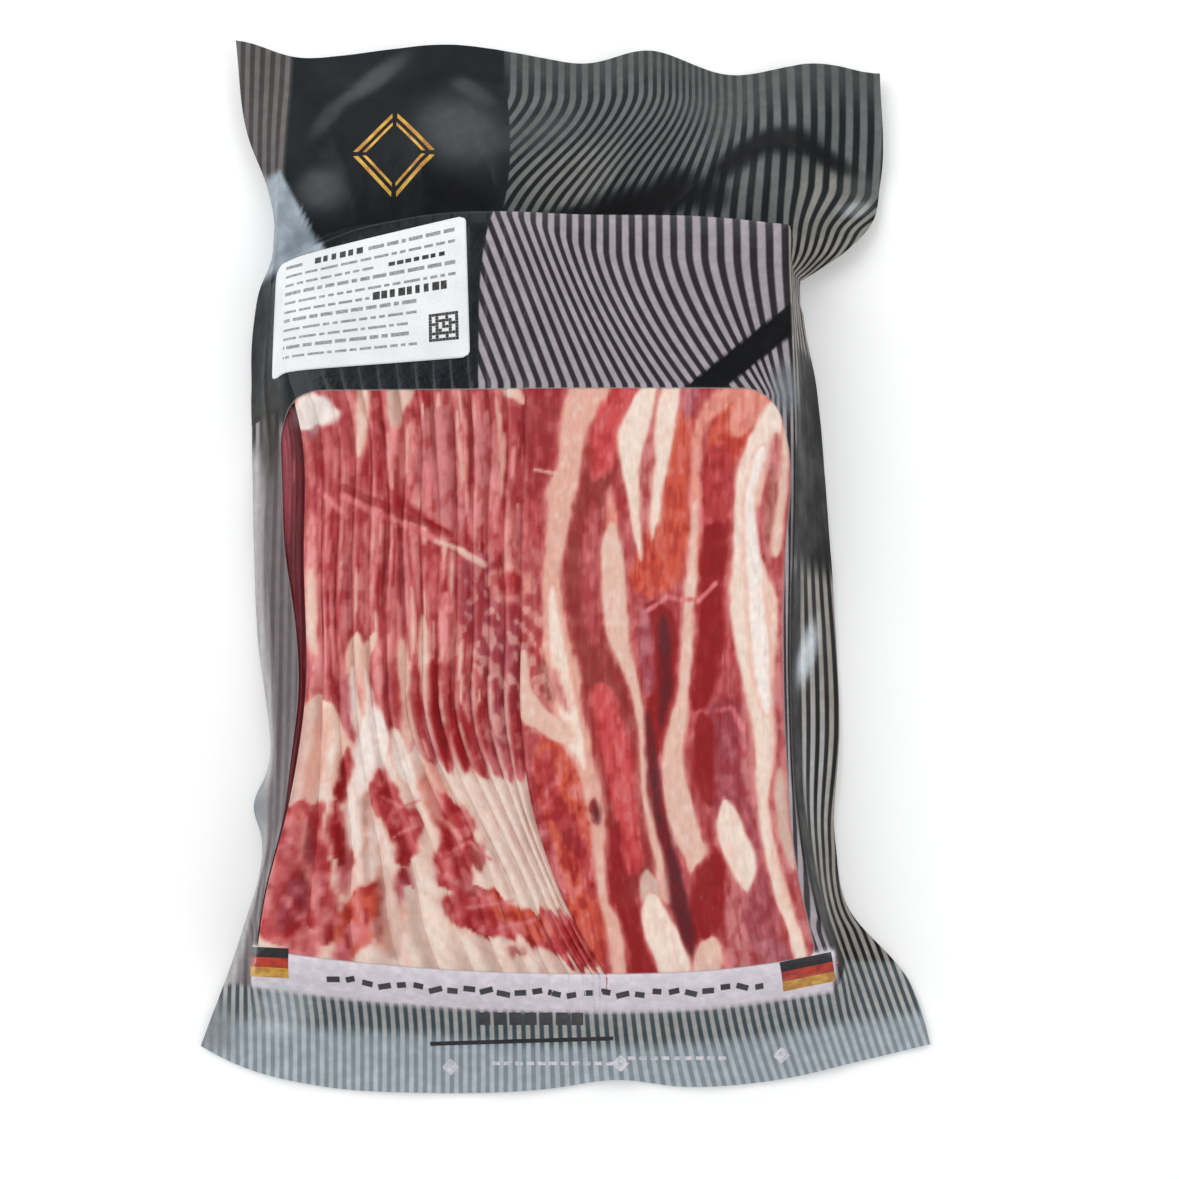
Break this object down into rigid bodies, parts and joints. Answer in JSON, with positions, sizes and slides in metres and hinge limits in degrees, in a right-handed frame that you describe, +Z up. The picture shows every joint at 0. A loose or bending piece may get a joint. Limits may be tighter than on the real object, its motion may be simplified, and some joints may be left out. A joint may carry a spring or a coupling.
{
  "type": "vacuum pack of sliced bacon",
  "caption": "Vacuum-packed sliced bacon: a film pouch tight over a shingled block, with a wavy flap, side skirts, a flat end strip and a stuck-on label.",
  "frame": {"origin": "centre of the bounding box, on the table under the pack", "axes": "+Z up out of the shown side, +Y towards the wavy flap, +X to the reader's right"},
  "size_m": [0.2, 0.303, 0.0298],
  "materials": {
    "film": "glossy clear film with meat behind it",
    "label": "matte white sticker"
  },
  "bodies": {
    "root": {"pouch": "film", "label": "label"}
  },
  "joints": []
}
